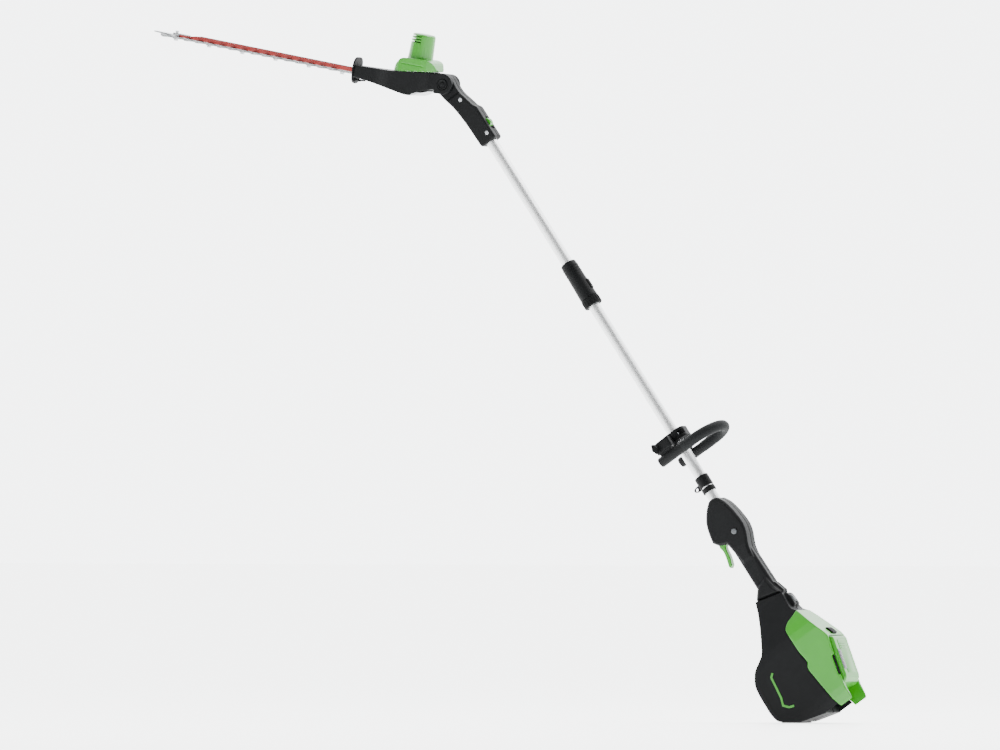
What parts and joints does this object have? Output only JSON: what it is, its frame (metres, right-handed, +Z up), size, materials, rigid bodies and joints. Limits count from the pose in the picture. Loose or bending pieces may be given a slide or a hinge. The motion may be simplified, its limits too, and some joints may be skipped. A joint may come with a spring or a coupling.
{
  "type": "pole hedge trimmer",
  "caption": "Battery pole hedge trimmer: double-edged cutting bar on a tilting gear head, two-piece pole, loop handle and rear battery housing.",
  "frame": {"origin": "middle of the rear grip, on the grip's centre line", "axes": "+Z up and -X towards the cutting bar, with the tool leaning 34.3 degrees from upright as it stands on its foot; +Y to the operator's right"},
  "size_m": [1.8509, 0.1555, 1.663],
  "materials": {
    "blade_steel": "ground tool steel, bare, fine grinding lines across the teeth",
    "red_paint": "powder coat, satin, dull brick red",
    "zinc_steel": "turned and zinc plated steel",
    "black_plastic": "injection-moulded glass-filled nylon, fine spark texture",
    "soft_black": "moulded soft-touch black, matt",
    "green_plastic": "injection-moulded yellow-green ABS, semi-gloss",
    "grey_plastic": "moulded mid grey, matt",
    "cast_alloy": "die-cast light alloy, bead blasted",
    "pole_aluminium": "drawn tube, satin anodised, fine lines along its length",
    "lamination_steel": "stacked steel laminations",
    "copper_wire": "enamelled copper winding",
    "cable_sheath": "extruded black sheath",
    "circuit_board": "potted circuit board with green solder mask",
    "rubber": "moulded rubber, matt"
  },
  "bodies": {
    "rear_assembly": {"handle_left": "black_plastic", "handle_right": "black_plastic", "trigger_pin": "zinc_steel", "trigger_switch": "black_plastic", "housing_left": "black_plastic", "housing_right": "black_plastic", "top_cover": "green_plastic", "terminal_block": "black_plastic", "controller_board": "circuit_board", "foot_pad": "rubber", "lower_pole": "pole_aluminium", "lower_power_lead": "cable_sheath", "strap_collar": "black_plastic", "stop_ring": "black_plastic"},
    "upper_line": {"upper_pole": "pole_aluminium", "upper_power_lead": "cable_sheath", "coupler_sleeve": "black_plastic", "arm_left": "black_plastic", "arm_right": "black_plastic", "arm_screw_1": "zinc_steel", "arm_screw_2": "zinc_steel"},
    "coupler_nut": {"twist_collar": "black_plastic"},
    "head": {"gear_case": "black_plastic", "gear_cover": "cast_alloy", "gear_axle": "zinc_steel", "motor_stator": "lamination_steel", "motor_windings": "copper_wire", "lower_motor_bearing": "zinc_steel", "upper_motor_bearing": "zinc_steel", "motor_cover": "green_plastic", "index_hub": "zinc_steel", "pivot_bolt": "black_plastic", "pivot_nut": "zinc_steel", "hand_guard": "black_plastic", "support_bar": "red_paint", "nose_guard": "blade_steel", "bar_bolt_1": "zinc_steel", "bar_bolt_2": "zinc_steel", "bar_bolt_3": "zinc_steel", "bar_bolt_4": "zinc_steel", "bar_bolt_5": "zinc_steel", "bar_bolt_6": "zinc_steel"},
    "drive": {"drive_gear": "zinc_steel"},
    "rotor": {"motor_rotor": "zinc_steel", "cooling_fan": "black_plastic"},
    "upper_cutter": {"upper_blade": "blade_steel"},
    "lower_cutter": {"lower_blade": "blade_steel"},
    "tilt_lock": {"lock_pawl": "zinc_steel", "release_button": "green_plastic"},
    "front_handle": {"loop_handle": "soft_black", "clamp_cap": "black_plastic", "clamp_bolt_1": "zinc_steel", "clamp_bolt_2": "zinc_steel"},
    "clamp_screw": {"clamp_knob": "black_plastic"},
    "trigger_lever": {"trigger": "green_plastic"},
    "lock_off": {"lock_off_button": "grey_plastic"},
    "power_switch": {"power_button": "grey_plastic"},
    "battery": {"battery_pack": "green_plastic"},
    "battery_catch": {"pack_latch": "black_plastic"}
  },
  "joints": [
    {"name": "pole_joint", "type": "slide", "parent": "rear_assembly", "child": "upper_line", "axis": [0.5635, 0, -0.8261], "range_m": [-0.06, 0]},
    {"name": "collar_twist", "type": "hinge", "parent": "upper_line", "child": "coupler_nut", "pos_m": [-0.42719, 0, 0.62979], "axis": [0.5635, 0, -0.8261], "range_deg": [0, 60]},
    {"name": "head_tilt", "type": "hinge", "parent": "upper_line", "child": "head", "pos_m": [-0.80832, 0, 1.153], "axis": [0, 1, 0], "range_deg": [-45, 90]},
    {"name": "drive_spin", "type": "hinge", "parent": "head", "child": "drive", "pos_m": [-0.92294, 0, 1.17466], "axis": [0.1857, 0, 0.9826], "range_deg": [-90, 90]},
    {"name": "rotor_spin", "type": "hinge", "parent": "head", "child": "rotor", "pos_m": [-0.88594, 0, 1.16767], "axis": [0.1857, 0, 0.9826], "range_deg": [-360, 360]},
    {"name": "upper_stroke", "type": "slide", "parent": "head", "child": "upper_cutter", "axis": [0.9826, 0, -0.1857], "range_m": [-0.0076, 0.0076]},
    {"name": "lower_stroke", "type": "slide", "parent": "head", "child": "lower_cutter", "axis": [0.9826, 0, -0.1857], "range_m": [-0.0076, 0.0076]},
    {"name": "tilt_release", "type": "slide", "parent": "upper_line", "child": "tilt_lock", "axis": [0.5635, 0, -0.8261], "range_m": [-0.0034, 0.002], "stiffness_N_per_m": 600},
    {"name": "handle_slide", "type": "slide", "parent": "rear_assembly", "child": "front_handle", "axis": [0.5635, 0, -0.8261], "range_m": [-0.2, 0.05]},
    {"name": "clamp_turn", "type": "hinge", "parent": "front_handle", "child": "clamp_screw", "pos_m": [-0.22761, 0, 0.27688], "axis": [0, 1, 0], "continuous": true},
    {"name": "trigger_pull", "type": "hinge", "parent": "rear_assembly", "child": "trigger_lever", "pos_m": [-0.08188, 0, 0.05793], "axis": [0, -1, 0], "range_deg": [0, 10], "stiffness_Nm_per_rad": 1.2, "springref_deg": -11.46},
    {"name": "lock_off_press", "type": "slide", "parent": "rear_assembly", "child": "lock_off", "axis": [0, 1, 0], "range_m": [0, 0.003], "stiffness_N_per_m": 500, "springref_m": -0.002},
    {"name": "power_press", "type": "slide", "parent": "rear_assembly", "child": "power_switch", "axis": [-0.8261, 0, -0.5635], "range_m": [0, 0.002], "stiffness_N_per_m": 700, "springref_m": -0.002},
    {"name": "battery_slide", "type": "slide", "parent": "rear_assembly", "child": "battery", "axis": [0.3551, 0, -0.9348], "range_m": [0, 0.12]},
    {"name": "catch_press", "type": "slide", "parent": "rear_assembly", "child": "battery_catch", "axis": [-0.8261, 0, -0.5635], "range_m": [0, 0.0035], "stiffness_N_per_m": 500, "springref_m": -0.003}
  ],
  "couplings": [
    {"joint": "rotor_spin", "follows": "drive_spin", "ratio": -4},
    {"joint": "upper_stroke", "follows": "drive_spin", "m_per_rad": -0.0047746},
    {"joint": "lower_stroke", "follows": "drive_spin", "m_per_rad": 0.0047746}
  ]
}
